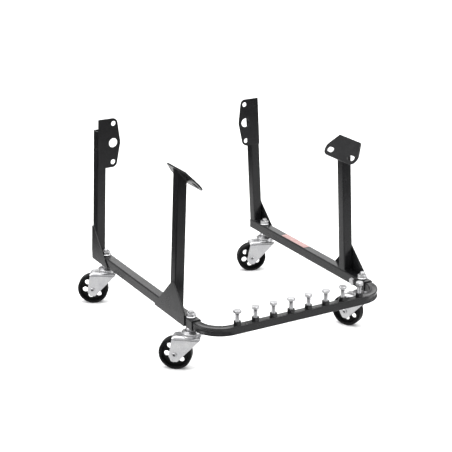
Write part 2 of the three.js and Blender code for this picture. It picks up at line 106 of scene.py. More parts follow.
WELD_SIZE = 2.3 * MM
WELD_RIPPLE = 2.6 * MM  # from one ripple to the next
GUSSET_RIPPLE = 4.6 * MM  # the coarser ripple down the front gusset's slope
GUSSET_BEAD = 1.5 * MM
SLOPE_BEAD = 1.3 * MM
REAR_PLATE_BEAD = 1.7 * MM
FRONT_PLATE_BEAD = 1.8 * MM
NUT_BEAD = 1.1 * MM
STITCH_PITCH = 9 * MM
STITCH_LENGTH = 6 * MM
STITCH_SIZE = 1.1 * MM
STITCH_INSET = 3.6 * MM  # from the crossbar's front face

STORED_BOLT = {"across_flats": 17 * MM, "head": 6.8 * MM, "radius": 5 * MM, "pitch": 1.5 * MM}
LOCK_BOLT = {
    "across_flats": 16 * MM,
    "head": 6.5 * MM,
    "radius": 4 * MM,
    "pitch": 1.25 * MM,
    "reach": 6 * MM,
    "spin": 17,
}
STEM_NUT = {
    "across_flats": 19 * MM,
    "flange": 12.5 * MM,
    "flange_edge": 1.4 * MM,
    "flange_top": 3.2 * MM,
}
STEM_RADIUS = 6 * MM
STEM_PITCH = 1.75 * MM
FIT = 0.3 * MM  # radial room between a bolt and its hole

# Caster, with the swivel axis at x = 0 and the wheel trailing towards +X.
CROWN = {"top": 87 * MM, "half_width": 20 * MM, "back": 44.5 * MM, "front": -24 * MM}
CROWN_BEND = 8.5 * MM
CROWN_DROOP = 6.5 * MM  # how far the crown's rear edge rolls down
CROWN_ROLL = 13 * MM  # the stretch of crown that rolls down
CROWN_COLUMNS = 36
CREASE = 0.9 * MM  # the pressed line at the top of each cheek
SHEET = 2.5 * MM
CHEEK = {
    "outer_at_axle": 16.5 * MM,
    "toe": 18.5 * MM,
    "toe_front": 6 * MM,
    "toe_back": 6.5 * MM,
    "back_reach": 14 * MM,
    "back_drop": 5.5 * MM,
    "top_back": 41.5 * MM,
    "lip": 6 * MM,
    "corner": 4 * MM,
}
RACEWAY = {"radius": 20 * MM, "top_radius": 17 * MM, "top": 92 * MM, "hole": 7 * MM}
CUP = {
    "bottom": 92.6 * MM,
    "rim": 23 * MM,
    "shoulder": 14.5 * MM,
    "boss": 13 * MM,
    "top": 98.5 * MM,
}
KING_PIN = {"radius": 6 * MM, "head": 9 * MM, "head_bottom": 80.5 * MM}
WHEEL = {
    "half_width": 12 * MM,
    "bore": 4.3 * MM,
    "hub": 12.5 * MM,
    "web": 2.5 * MM,
    "rim": 7 * MM,
    "shoulder": 4 * MM,
}
WHEEL_HOLES = {"count": 6, "radius": 7.3 * MM, "from_centre": 21 * MM}
AXLE = {
    "radius": 4 * MM,
    "head": 6 * MM,
    "head_height": 2.2 * MM,
    "seat": 17.3 * MM,
    "bore": 2.9 * MM,
}
STORED_COUNT = 8

# ---- Places from the frame ----

SIDES = {"left": -1, "right": 1}
CASTERS = {  # how far the stem nut and the wheel are turned, in degrees
    "front_left": (8, 10),
    "front_right": (25, 28),
    "rear_left": (14, 12),
    "rear_right": (41, 20),
}
joints = {j["name"]: j for j in frame["joints"]}
mounts = {m["name"]: m for m in frame["record"]["mounts"]}

rail_low, rail_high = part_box("side_rail_right")
left_rail_low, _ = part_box("side_rail_left")
CENTRE_X = (left_rail_low.x + rail_high.x) / 2
CENTRE_Y = (rail_low.y + rail_high.y) / 2
TUBE = rail_high.x - rail_low.x
RAIL_TOP = rail_high.z
RAIL_BOTTOM = rail_low.z
RAIL_X = (rail_low.x + rail_high.x) / 2 - CENTRE_X
RAIL_Z = (RAIL_TOP + RAIL_BOTTOM) / 2

upright_low, upright_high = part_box("rear_upright_right")
LEAN = (upright_high.x - upright_low.x - TUBE) / (upright_high.z - upright_low.z)

bar_low, bar_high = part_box("front_crossbar")
BAR = bar_high.z - bar_low.z
BAR_Z = (bar_high.z + bar_low.z) / 2


def centre_of(node):
    """The middle of a CAD node's box, as x, y and z."""
    low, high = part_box(node)
    return [(a + b) / 2 for a, b in zip(low, high)]


# ---- Mesh building ----


def loft(rings, around=False):
    """A shell through rings of equal length, its ends capped, or joined to each other."""
    count = len(rings[0])
    verts = [Vector(p) for ring in rings for p in ring]
    faces = []
    last = len(rings) if around else len(rings) - 1
    for i in range(last):
        a = i * count
        b = ((i + 1) % len(rings)) * count
        for j in range(count):
            k = (j + 1) % count
            faces.append((a + j, a + k, b + k, b + j))
    if not around:
        faces.append(tuple(range(count))[::-1])
        faces.append(tuple(range(len(verts) - count, len(verts))))
    return verts, faces


def sheet_grid(rows):
    """An open sheet through rows of equal length."""
    count = len(rows[0])
    verts = [Vector(p) for row in rows for p in row]
    faces = []
    for i in range(len(rows) - 1):
        for j in range(count - 1):
            a = i * count + j
            faces.append((a, a + 1, a + count + 1, a + count))
    return verts, faces


def moved(shell, matrix):
    return [matrix @ v for v in shell[0]], shell[1]


def turned(profile, steps=48):
    """A shell turned round the z axis from a closed profile of (radius, z)."""
    rings = []
    for i in range(steps):
        angle = 2 * math.pi * i / steps
        c, s = math.cos(angle), math.sin(angle)
        rings.append([(r * c, r * s, z) for r, z in profile])
    return loft(rings, around=True)


def smooth_step(t):
    t = max(0.0, min(1.0, t))
    return t * t * (3 - 2 * t)


def smooth_ends(t):
    """Spreads even steps so that they crowd towards both ends."""
    return 0.5 - 0.5 * math.cos(math.pi * t)


def ring_at(radius, z, steps=48):
    """A ring of points round the z axis. radius and z are numbers or functions of the angle."""
    points = []
    for i in range(steps):
        angle = 2 * math.pi * i / steps
        r = radius(angle) if callable(radius) else radius
        h = z(angle) if callable(z) else z
        points.append((r * math.cos(angle), r * math.sin(angle), h))
    return points


def arc(centre, radius, start, end, steps):
    """Points on an arc of a circle, with the angles in degrees."""
    points = []
    for i in range(steps + 1):
        angle = math.radians(start + (end - start) * i / steps)
        points.append((centre[0] + radius * math.cos(angle), centre[1] + radius * math.sin(angle)))
    return points


def rounded(corners, steps=8):
    """An outline whose corners, given as (x, y, radius), are rounded."""
    points = []
    for i, (x, y, radius) in enumerate(corners):
        corner = Vector((x, y))
        before = Vector(corners[i - 1][:2]) - corner
        after = Vector(corners[(i + 1) % len(corners)][:2]) - corner
        before.normalize()
        after.normalize()
        half = math.acos(max(-1, min(1, before.dot(after)))) / 2
        if radius == 0:
            points.append(corner)
            continue
        inwards = (before + after).normalized()
        centre = corner + inwards * (radius / math.sin(half))
        start = corner + before * (radius / math.tan(half)) - centre
        turn = start.angle_signed(corner + after * (radius / math.tan(half)) - centre)
        for step in range(steps + 1):
            spin = Matrix.Rotation(-turn * step / steps, 2)
            points.append(centre + spin @ start)
    return points


def circle(x, y, radius, steps=40):
    return [Vector(p) for p in arc((x, y), radius, 0, 360, steps)[:-1]]


def square_ring(half, radius, corner_steps=6, side_steps=1):
    """Points round a square with rounded corners, anticlockwise, as (u, v)."""
    points = []
    inner = half - radius
    for quarter in range(4):
        turn = Matrix.Rotation(quarter * math.pi / 2, 2)
        corner = [turn @ Vector(p) for p in arc((inner, inner), radius, 0, 90, corner_steps)]
        points.extend(corner)
        nearest = turn @ Vector((-inner, half))
        for step in range(1, side_steps):
            points.append(corner[-1].lerp(nearest, step / side_steps))
    return points


def square_tube(place, start, end):
    """An open-ended square tube. place(u, v, t) puts a profile point at station t."""
    half = TUBE / 2
    outer = square_ring(half, TUBE_CORNER)
    eased = square_ring(half - END_CHAMFER, TUBE_CORNER - END_CHAMFER)
    inner = square_ring(half - TUBE_WALL, TUBE_CORNER - TUBE_WALL + 0.2 * MM)
    stations = [
        (outer, start + END_CHAMFER),
        (outer, end - END_CHAMFER),
        (eased, end),
        (inner, end),
        (inner, start),
        (eased, start),
    ]
    rings = [[place(p.x, p.y, t) for p in ring] for ring, t in stations]
    return loft(rings, around=True)


def cylinder_along(radius, start, end, steps=24):
    """A closed cylinder between two points, used to cut holes."""
    start, end = Vector(start), Vector(end)
    run = end - start
    turn = run.to_track_quat("Z", "Y").to_matrix().to_4x4()
    shell = loft([ring_at(radius, 0, steps), ring_at(radius, run.length, steps)])
    return moved(shell, Matrix.Translation(start) @ turn)


def mesh_of(name, shells):
    """One mesh of several closed shells, with faces turned outwards."""
    bm = bmesh.new()
    for verts, faces in shells:
        made = [bm.verts.new(v) for v in verts]
        for face in faces:
            bm.faces.new([made[i] for i in face])
    bmesh.ops.recalc_face_normals(bm, faces=bm.faces)
    mesh = bpy.data.meshes.new(name)
    bm.to_mesh(mesh)
    bm.free()
    return mesh


def settled(piece):
    """Replaces a piece's mesh with the result of its modifiers."""
    graph = bpy.context.evaluated_depsgraph_get()
    mesh = bpy.data.meshes.new_from_object(piece.evaluated_get(graph))
    piece.modifiers.clear()
    old = piece.data
    piece.data = mesh
    bpy.data.meshes.remove(old)


def new_object(name, data):
    """An object, linked into the scene."""
    made = bpy.data.objects.new(name, data)
    bpy.context.scene.collection.objects.link(made)
    return made


def finish_of(node, shells):
    """The finished piece that stands for a CAD node, before its material."""
    return new_object(node + "_finish", mesh_of(node, shells))


def cut(piece, shells):
    """Cuts holes through a piece."""
    cutter = new_object("cutter", mesh_of("cutter", shells))
    modifier = piece.modifiers.new("holes", "BOOLEAN")
    modifier.operation = "DIFFERENCE"
    modifier.solver = "EXACT"
    modifier.object = cutter
    bpy.context.view_layer.update()
    settled(piece)
    bpy.data.objects.remove(cutter)


def finish_piece(piece, look, body, nodes, angle=32):
    """Gives a piece the look's material, smooth shading below an angle and its body, and hides the
    CAD nodes it stands for.
    """
    material, slot = look
    piece.data.materials.clear()
    piece.data.materials.append(material)
    piece.data.shade_smooth()
    piece.data.set_sharp_from_angle(angle=math.radians(angle))
    weighted = piece.modifiers.new("even shading", "WEIGHTED_NORMAL")
    weighted.keep_sharp = True
    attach(piece, body)
    if nodes:
        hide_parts(*nodes)


def raw_shell(bm):
    """A bmesh as a plain shell of vertices and faces."""
    return [v.co.copy() for v in bm.verts], [tuple(v.index for v in f.verts) for f in bm.faces]


def plate_shell(loops, thickness, edge):
    """A flat plate of a filled outline with holes, centred on z = 0, its edges rounded."""
    data = bpy.data.curves.new("plate", "CURVE")
    data.dimensions = "2D"
    data.fill_mode = "BOTH"
    data.extrude = thickness / 2 - edge
    data.bevel_depth = edge
    data.bevel_resolution = 2
    data.offset = -edge
    for loop in loops:
        spline = data.splines.new("POLY")
        spline.points.add(len(loop) - 1)
        for point, p in zip(spline.points, loop):
            point.co = (p[0], p[1], 0, 1)
        spline.use_cyclic_u = True
    holder = new_object("plate", data)
    graph = bpy.context.evaluated_depsgraph_get()
    mesh = bpy.data.meshes.new_from_object(holder.evaluated_get(graph))
    bm = bmesh.new()
    bm.from_mesh(mesh)
    bmesh.ops.remove_doubles(bm, verts=bm.verts, dist=0.01 * MM)
    bm.verts.ensure_lookup_table()
    shell = raw_shell(bm)
    bm.free()
    bpy.data.objects.remove(holder)
    bpy.data.curves.remove(data)
    bpy.data.meshes.remove(mesh)
    return shell


# ---- Fasteners ----

HEX_CHAMFER = math.tan(math.radians(28))


def hex_radius(across_flats):
    def radius(angle):
        return across_flats / 2 / math.cos(angle % (math.pi / 3) - math.pi / 6)

    return radius


def hex_rings(across_flats, bottom, top, chamfer_bottom):
    """Rings up the sides of a hexagon whose corners are turned off at 28 degrees."""
    side = hex_radius(across_flats)
    face = across_flats / 2 * 0.96

    def upper(angle):
        return top - (side(angle) - face) * HEX_CHAMFER

    def lower(angle):
        return bottom + (side(angle) - face) * HEX_CHAMFER

    low = [ring_at(side, bottom)]
    if chamfer_bottom:
        low = [ring_at(face, bottom), ring_at(side, lower)]
    return low + [ring_at(side, upper), ring_at(face, top)]


def bolt_head(across_flats, height):
    """A hexagon head standing on z = 0, with a washer face under it and a shallow dish on top."""
    washer = 0.4 * MM
    rings = [ring_at(across_flats * 0.46, 0), ring_at(across_flats * 0.46, washer)]
    rings += hex_rings(across_flats, washer, height, False)
    rings.append(ring_at(across_flats * 0.44, height))
    rings.append(ring_at(across_flats * 0.41, height - 0.35 * MM))
    rings.append(ring_at(across_flats * 0.05, height - 0.45 * MM))
    return loft(rings)


def threaded_shank(radius, pitch, bottom, top, plain_below=None):
    """A screw thread with a chamfered lower end, above an optional plain stretch."""
    depth = 0.6 * pitch
    steps = 24
    thread_from = bottom if plain_below is None else plain_below
    rows = int((top - thread_from) / (pitch / 6))
    rings = []
    if plain_below is not None:
        rings.append(ring_at(radius - depth, bottom, steps))
        rings.append(ring_at(radius - depth / 2, thread_from, steps))
    for row in range(rows + 1):
        z = thread_from + (top - thread_from) * row / rows
        from_end = z - thread_from

        def surface(angle, z=z, from_end=from_end):
            phase = (z / pitch - angle / (2 * math.pi)) % 1
            crest = radius - depth * abs(2 * phase - 1)
            return min(crest, radius - depth + from_end)

        rings.append(ring_at(surface, z, steps))
    return loft(rings)


def threaded_end(radius, pitch, bottom, top):
    """A screw thread that ends upwards in a chamfer."""
    turned_over = Matrix.Translation((0, 0, bottom + top)) @ Matrix.Rotation(math.pi, 4, "X")
    return moved(threaded_shank(radius, pitch, bottom, top), turned_over)


def hex_nut(across_flats, bottom, top, bore):
    """A hexagon nut chamfered on both faces, with a countersunk bore."""
    rings = hex_rings(across_flats, bottom, top, True)
    rings.append(ring_at(bore + 0.8 * MM, top))
    rings.append(ring_at(bore, top - 0.8 * MM))
    rings.append(ring_at(bore, bottom + 0.8 * MM))
    rings.append(ring_at(bore + 0.8 * MM, bottom))
    return loft(rings, around=True)


# ---- Weld beads ----


def bead(start, end, size=WELD_SIZE, seed=0, pitch=WELD_RIPPLE):
    """A weld bead along a line: overlapping ripples, with small uneven swells and rounded ends."""
    start, end = Vector(start), Vector(end)
    run = end - start
    turn = run.to_track_quat("Z", "Y").to_matrix().to_4x4()
    count = max(6, int(run.length / (pitch / 5)))
    rings = []
    for i in range(count + 1):
        along = run.length * i / count
        to_end = min(along, run.length - along)
        taper = math.sqrt(max(0.04, min(1, to_end / size) * (2 - min(1, to_end / size))))
        swell = 1 + 0.09 * math.sin(along * 310 + seed * 1.7)
        swell += 0.06 * math.sin(along * 127 + seed * 2.9)

        def surface(angle, along=along, taper=taper, swell=swell):
            lag = 0.9 * MM * math.cos(2 * angle)
            ripple = ((along + lag) / pitch) % 1
            return size * taper * swell * (0.84 + 0.16 * math.sin(math.pi * ripple) ** 0.6)

        rings.append(ring_at(surface, along, 14))
    return moved(loft(rings), Matrix.Translation(start) @ turn)


def beads(points, size=WELD_SIZE, seed=0):
    return [bead(a, b, size, seed + i) for i, (a, b) in enumerate(zip(points, points[1:]))]


# ---- Materials ----


class Graph:
    """Short calls for building a node tree."""

    def __init__(self, tree):
        self.tree = tree

    def link(self, source, target):
        self.tree.links.new(source, target)

    def add(self, kind, **inputs):
        node = self.tree.nodes.new("ShaderNode" + kind)
        for name, value in inputs.items():
            node.inputs[name].default_value = value
        return node

    def ramp(self, source, stops):
        """stops are (position, value or colour)."""
        node = self.add("ValToRGB")
        elements = node.color_ramp.elements
        while len(elements) < len(stops):
            elements.new(0.5)
        for element, (position, value) in zip(elements, stops):
            element.position = position
            element.color = (*value, 1) if isinstance(value, tuple) else (value, value, value, 1)
        self.link(source, node.inputs["Fac"])
        return node.outputs["Color"]


class Nodes(Graph):
    """A material's node tree."""

    def __init__(self, name):
        self.material = bpy.data.materials.new(name)
        self.material.use_nodes = True
        super().__init__(self.material.node_tree)
        self.shader = self.tree.nodes["Principled BSDF"]
        self.place = self.add("TexCoord").outputs["Object"]

    def noise(self, scale, detail=2.0, roughness=0.5, stretch=None):
        node = self.add("TexNoise", Scale=scale, Detail=detail, Roughness=roughness)
        place = self.place
        if stretch:
            mapping = self.add("Mapping", Scale=stretch)
            self.link(self.place, mapping.inputs["Vector"])
            place = mapping.outputs["Vector"]
        self.link(place, node.inputs["Vector"])
        return node.outputs["Fac"]

    def cells(self, scale):
        node = self.add("TexVoronoi", Scale=scale)
        self.link(self.place, node.inputs["Vector"])
        return node.outputs["Color"]

    def mix(self, factor, a, b):
        node = self.add("Mix")
        node.data_type = "RGBA"
        for socket, value in (("Factor", factor), ("A", a), ("B", b)):
            target = [s for s in node.inputs if s.name == socket and s.enabled][0]
            if isinstance(value, bpy.types.NodeSocket):
                self.link(value, target)
            else:
                target.default_value = (*value, 1) if isinstance(value, tuple) else value
        return [s for s in node.outputs if s.enabled][0]

    def multiply(self, a, b):
        node = self.add("Math")
        node.operation = "MULTIPLY"
        self.link(a, node.inputs[0])
        if isinstance(b, bpy.types.NodeSocket):
            self.link(b, node.inputs[1])
        else:
            node.inputs[1].default_value = b
        return node.outputs[0]

    def edges(self, radius, low, high):
        """Near 1 within radius of a sharp or tight edge, and 0 on flat stretches."""
        bevel = self.add("Bevel", Radius=radius)
        bevel.samples = 6
        geometry = self.add("NewGeometry")
        dot = self.add("VectorMath")
        dot.operation = "DOT_PRODUCT"
        self.link(bevel.outputs["Normal"], dot.inputs[0])
        self.link(geometry.outputs["Normal"], dot.inputs[1])
        return self.ramp(dot.outputs["Value"], [(low, 1.0), (high, 0.0)])

    def crevice_shade(self, reach, low, high):
        """A mask for painted shade: 1 on open faces, falling to 0 in corners and gaps narrower than
        reach.
        """
        node = self.add("AmbientOcclusion", Distance=reach)
        node.samples = 8
        return self.ramp(node.outputs["AO"], [(low, 0.0), (high, 1.0)])

    def bump(self, height, distance, strength):
        node = self.add("Bump", Distance=distance, Strength=strength)
        self.link(height, node.inputs["Height"])
        self.link(node.outputs["Normal"], self.shader.inputs["Normal"])

    def set(self, **values):
        for name, value in values.items():
            socket = self.shader.inputs[name.replace("_", " ")]
            if isinstance(value, bpy.types.NodeSocket):
                self.link(value, socket)
            else:
                socket.default_value = value


def powder_coat():
    """Satin black powder coat: fine orange peel, faint tone patches and paler edges, partly worn
    thin coat and partly painted sheen.
    """
    n = Nodes("powder coat")
    tone = n.ramp(n.noise(14, 4), [(0.35, (0.006, 0.006, 0.0066)), (0.68, (0.010, 0.010, 0.011))])
    speck = n.ramp(n.noise(1500, 1), [(0.72, 0.0), (0.8, 1.0)])
    tone = n.mix(n.multiply(speck, 0.35), tone, (0.05, 0.05, 0.053))
    patchy = n.ramp(n.noise(60, 3), [(0.45, 0.0), (0.72, 0.45)])
    # Paler edges: partly the coat worn thin, partly a painted sheen where the edges would catch the
    # light.
    wear_and_sheen = n.multiply(n.edges(0.6 * MM, 0.9, 0.99), patchy)
    n.set(
        Base_Color=n.mix(wear_and_sheen, tone, (0.09, 0.09, 0.095)),
        Roughness=n.ramp(n.noise(35, 3), [(0.3, 0.2), (0.75, 0.29)]),
        Specular_IOR_Level=0.4,
    )
    n.bump(n.noise(650, 2, 0.45), 0.09 * MM, 0.5)
    return n.material


def zinc():
    """Bright zinc plate: soft spangle, faint cloudy tarnish, fine scratches and painted shade in
    crevices.
    """
    n = Nodes("zinc plate")
    tint = n.ramp(n.noise(55, 3), [(0.3, (0.47, 0.47, 0.49)), (0.7, (0.6, 0.6, 0.6))])
    spangle = n.ramp(n.cells(420), [(0.0, (0.5, 0.5, 0.52)), (1.0, (0.66, 0.66, 0.66))])
    tint = n.mix(0.35, tint, spangle)
    # Painted shade: the colour darkens to near black in corners, gaps and holes.
    painted_shade = n.crevice_shade(5 * MM, 0.35, 0.85)
    scratch = n.noise(900, 2, 0.6, (1, 1, 0.08))
    n.set(
        Base_Color=n.mix(painted_shade, (0.045, 0.045, 0.05), tint),
        Metallic=0.9,
        Roughness=n.ramp(scratch, [(0.3, 0.25), (0.75, 0.42)]),
    )
    n.bump(n.noise(700, 3, 0.5), 0.05 * MM, 0.35)
    return n.material


def polymer():
    """Hard black wheel polymer: matt moulded skin, with dusty scuffs."""
    n = Nodes("wheel polymer")
    tone = n.ramp(n.noise(90, 4), [(0.35, (0.004, 0.004, 0.0043)), (0.7, (0.008, 0.008, 0.0083))])
    dust = n.ramp(n.noise(420, 3), [(0.62, 0.0), (0.78, 0.25)])
    n.set(
        Base_Color=n.mix(dust, tone, (0.035, 0.035, 0.036)),
        Roughness=n.ramp(n.noise(160, 3), [(0.3, 0.42), (0.75, 0.6)]),
        Specular_IOR_Level=0.1,
    )
    n.bump(n.noise(1100, 2), 0.05 * MM, 0.5)
    return n.material


def film():
    """The label's printed film: faded red, a little uneven, with paler rubbed edges."""
    n = Nodes("label film")
    tone = n.ramp(n.noise(45, 3), [(0.3, (0.33, 0.17, 0.16)), (0.7, (0.42, 0.27, 0.26))])
    patchy = n.ramp(n.noise(240, 2), [(0.4, 0.2), (0.7, 1.0)])
    rubbed = n.multiply(n.edges(0.8 * MM, 0.9, 0.99), patchy)
    n.set(
        Base_Color=n.mix(rubbed, tone, (0.5, 0.42, 0.41)),
        Roughness=n.ramp(n.noise(300, 2), [(0.3, 0.32), (0.7, 0.5)]),
    )
    n.bump(n.noise(500, 2), 0.03 * MM, 0.4)
    return n.material


def pale_floor():
    n = Nodes("pale floor")
    tone = n.ramp(n.noise(1.5, 2), [(0.3, (0.93, 0.93, 0.935)), (0.7, (0.95, 0.95, 0.95))])
    n.set(Base_Color=tone, Roughness=0.85, Specular_IOR_Level=0.1)
    return n.material


BLACK = (powder_coat(), "black_powder_coat")
ZINC = (zinc(), "zinc_plate")
POLYMER = (polymer(), "wheel_polymer")
FILM = (film(), "label")
ROOT = "cradle"


# ---- Side frames ----


def x_on(side, offset, z):
    """The x of a point that leans in with the uprights. offset is its place at rail height."""
    return CENTRE_X + side * (offset - max(0, z - RAIL_TOP) * LEAN)


def build_rail(name, side):
    node = "side_rail_" + name
    low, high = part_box(node)
    x, _, _ = centre_of(node)

    def place(u, v, t):
        return (x + u, t, RAIL_Z + v)

    shell = square_tube(place, low.y, high.y)
    rail = finish_of(node, [shell])
    holes = []
    for end in ("front", "rear"):
        stem = joints[f"{end}_{name}_swivel"]["pos_m"]
        ends = ((x, stem[1], RAIL_BOTTOM - HOLE_PAST), (x, stem[1], RAIL_TOP + HOLE_PAST))
        holes.append(cylinder_along(STEM_RADIUS + FIT, *ends))
    _, lock_y, _ = centre_of("crossbar_lock_bolt_" + name)
    inner = x - side * TUBE / 2
    ends = ((inner - side * MM, lock_y, RAIL_Z), (inner + side * LOCK_BOLT["reach"], lock_y, RAIL_Z))
    holes.append(cylinder_along(LOCK_BOLT["radius"] + FIT, *ends))
    cut(rail, holes)
    finish_piece(rail, BLACK, ROOT, [node])


def build_rear_upright(name, side):
    node = "rear_upright_" + name
    low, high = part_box(node)
    y = (low.y + high.y) / 2

    def place(u, v, t):
        return (x_on(side, RAIL_X, t) + u, y + v, t)

    shell = square_tube(place, low.z, high.z)
    upright = finish_of(node, [shell])
    finish_piece(upright, BLACK, ROOT, [node])


def build_front_upright(name, side):
    """The front upright's top is cut along the underside of the sloping plate."""
    node = "front_upright_" + name
    low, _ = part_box(node)
    y = low.y + TUBE / 2
    mount = mounts["motor_mount_face_" + name]
    normal = Vector(mount["axis"])
    under = Vector(mount["pos_m"]) - normal * (FRONT_PLATE["thickness"] + FIT)
    top_offset = 10 * MM

    def cut_height(x):
        # x moves inwards by LEAN for each metre of height, so the height is solved from both.
        shift = x - under.x + side * LEAN * RAIL_TOP
        return (under.z * normal.z - normal.x * shift) / (normal.z - normal.x * side * LEAN)

    def place(u, v, t):
        foot = CENTRE_X + side * RAIL_X + u
        top = cut_height(foot)
        z = t if t < low.z + top_offset else top - (cut_end - t)
        return (foot - side * LEAN * (z - RAIL_TOP), y + v, z)

    cut_end = low.z + 1
    shell = square_tube(place, low.z, cut_end)
    upright = finish_of(node, [shell])
    finish_piece(upright, BLACK, ROOT, [node])


def build_rear_plate(name, side):
    node = "bell_housing_plate_" + name
    low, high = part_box(node)
    size = REAR_PLATE
    outer = RAIL_X + TUBE / 2
    middle = (low.z + high.z) / 2
    edge = outer - size["outer_inset"]
    loops = [
        rounded(
            [
                (edge, low.z, size["corner_radius"]),
                (edge, high.z, size["corner_radius"]),
                (outer - size["end_width"], high.z, size["end_radius"]),
                (outer - size["middle_width"], middle, size["middle_radius"]),
                (outer - size["end_width"], low.z, size["end_radius"]),
            ]
        )
    ]
    hole_x = outer - size["hole_inset"]
    loops.append(circle(hole_x, low.z + size["hole_from_end"], size["small_hole"]))
    loops.append(circle(hole_x, middle, size["big_hole"], 56))
    loops.append(circle(hole_x, high.z - size["hole_from_end"], size["small_hole"]))
    flat, faces = plate_shell(loops, high.y - low.y, REAR_PLATE_EDGE)
    y = (low.y + high.y) / 2
    verts = [Vector((x_on(side, v.x, v.y), y + v.z, v.y)) for v in flat]
    plate = finish_of(node, [(verts, faces)])
    finish_piece(plate, BLACK, ROOT, [node])


def build_front_plate(name, side):
    """The sloping plate. Its own x runs up the slope, from the long edge to the short one."""
    node = "motor_mount_plate_" + name
    mount = mounts["motor_mount_face_" + name]
    normal = Vector(mount["axis"])
    size = FRONT_PLATE
    half = size["slant"] / 2
    long_half = size["long_edge"] / 2
    short_half = size["short_edge"] / 2
    loops = [
        rounded(
            [
                (-half, long_half, size["long_radius"]),
                (-half, -long_half, size["long_radius"]),
                (half, -short_half, size["short_radius"]),
                (half, short_half, size["short_radius"]),
            ],
            12,
        )
    ]
    slot_x = size["slot_from_long_edge"] - half
    reach = size["slot_length"] / 2
    width = size["slot_width"] / 2
    for end in (-1, 1):
        y = end * size["slot_spacing"] / 2
        corners = [(-width, -reach), (width, -reach), (width, reach), (-width, reach)]
        loops.append(rounded([(slot_x + a, y + b, width * 0.999) for a, b in corners], 10))
    flat, faces = plate_shell(loops, size["thickness"], FRONT_PLATE_EDGE)
    up_slope = Vector((-normal.z * -side, 0, abs(normal.x)))
    centre = Vector(mount["pos_m"]) - normal * size["thickness"] / 2
    verts = [centre + up_slope * v.x + Vector((0, v.y, 0)) + normal * v.z for v in flat]
    plate = finish_of(node, [(verts, faces)])
    finish_piece(plate, BLACK, ROOT, [node])


def build_gusset(name, side, end):
    """A triangular plate on the rail's outer face, folded along the rail's top edge."""
    node = f"{end}_gusset_{name}"
    low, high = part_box(node)
    if end == "rear":
        slope = high.z - low.z
        outline = [
            (high.y - GUSSET_TIP - slope, low.z, GUSSET_CORNER),
            (high.y, low.z, GUSSET_CORNER),
            (high.y, high.z, GUSSET_CORNER),
            (high.y - GUSSET_TIP, high.z, GUSSET_CORNER),
        ]
    else:
        tip = high.y - (high.z - low.z)
        outline = [
            (low.y, low.z, GUSSET_CORNER),
            (high.y, low.z, GUSSET_CORNER),
            (tip, high.z, GUSSET_CORNER),
            (tip - GUSSET_TIP, high.z, GUSSET_CORNER),
            (low.y, RAIL_TOP + GUSSET_NOSE_RISE, GUSSET_CORNER),
        ]
    inner = TUBE / 2 + RAIL_X + FIT
    thickness = abs(high.x - low.x) - (high.z - RAIL_TOP) * LEAN
    flat, faces = plate_shell([rounded(outline, 4)], thickness, GUSSET_EDGE)
    mesh = mesh_of(node, [(flat, faces)])
    bm = bmesh.new()
    bm.from_mesh(mesh)
    geometry = list(bm.verts) + list(bm.edges) + list(bm.faces)
    bmesh.ops.bisect_plane(bm, geom=geometry, plane_co=(0, RAIL_TOP, 0), plane_no=(0, 1, 0))
    for v in bm.verts:
        along, z, out = v.co
        v.co = (x_on(side, inner + thickness / 2 + out, z), along, z)
    bmesh.ops.recalc_face_normals(bm, faces=bm.faces)
    bm.to_mesh(mesh)
    bm.free()
    gusset = new_object(node + "_finish", mesh)
    finish_piece(gusset, BLACK, ROOT, [node])


def build_lock_bolt(name, side):
    node = "crossbar_lock_bolt_" + name
    low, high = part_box(node)
    size = LOCK_BOLT
    head = bolt_head(size["across_flats"], size["head"])
    shank = threaded_shank(size["radius"], size["pitch"], -size["reach"], 0.2 * MM)
    seat_x = (high.x if side > 0 else low.x) - side * size["reach"]
    spin = Matrix.Rotation(math.radians(size["spin"]), 4, "Z")
    _, y, z = centre_of(node)
    place = Matrix.Translation((seat_x, y, z)) @ Matrix.Rotation(-side * math.pi / 2, 4, "Y") @ spin
    bolt = finish_of(node, [moved(head, place), moved(shank, place)])
    finish_piece(bolt, ZINC, ROOT, [node])


